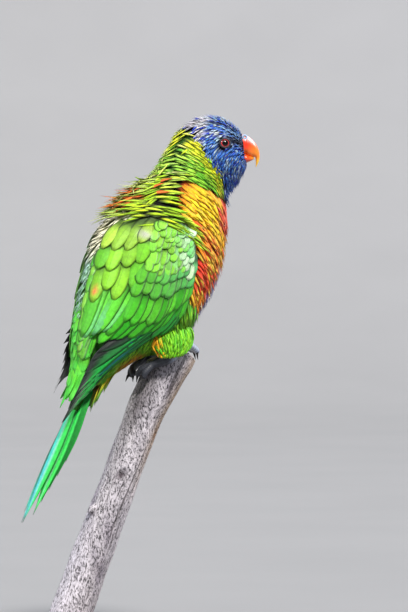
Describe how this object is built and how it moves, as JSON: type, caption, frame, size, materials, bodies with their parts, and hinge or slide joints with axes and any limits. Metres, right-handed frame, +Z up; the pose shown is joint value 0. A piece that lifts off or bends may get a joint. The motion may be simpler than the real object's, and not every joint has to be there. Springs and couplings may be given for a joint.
{
  "type": "rainbow lorikeet on a perch",
  "caption": "Life-size still model of a parrot gripping the cut end of a leaning branch, held upright on a flat display stand.",
  "frame": {"origin": "centre of the underside of the stand's base", "axes": "+X the way the bird's body faces, +Y the bird's left, +Z up"},
  "size_m": [0.1735, 0.12, 0.3435],
  "materials": {
    "body_feathers": "feathers, orange-red breast with a yellow-green mantle",
    "neck_feathers": "feathers, yellow-green collar",
    "head_feathers": "short feathers, violet-blue with pale streaks",
    "wing_feathers": "feathers, grass green with dark inner edges",
    "tail_feathers": "feathers, turquoise to green",
    "leg_feathers": "feathers, yellow-green, over blue-grey scaly toes",
    "bill": "smooth horn, orange-red with a yellow tip",
    "eye": "wet, orange-red iris round a black pupil",
    "branch_wood": "bare weathered grey wood",
    "stand_wood": "dark stained wood, satin",
    "stand_metal": "brushed"
  },
  "bodies": {
    "root": {"torso": "body_feathers", "neck": "neck_feathers", "head": "head_feathers", "wing_right": "wing_feathers", "wing_left": "wing_feathers", "tail": "tail_feathers", "leg_right": "leg_feathers", "leg_left": "leg_feathers", "bill_upper": "bill", "bill_lower": "bill", "eye_right": "eye", "eye_left": "eye", "perch": "branch_wood", "stand_base": "stand_wood", "stand_rod": "stand_metal"}
  },
  "joints": []
}
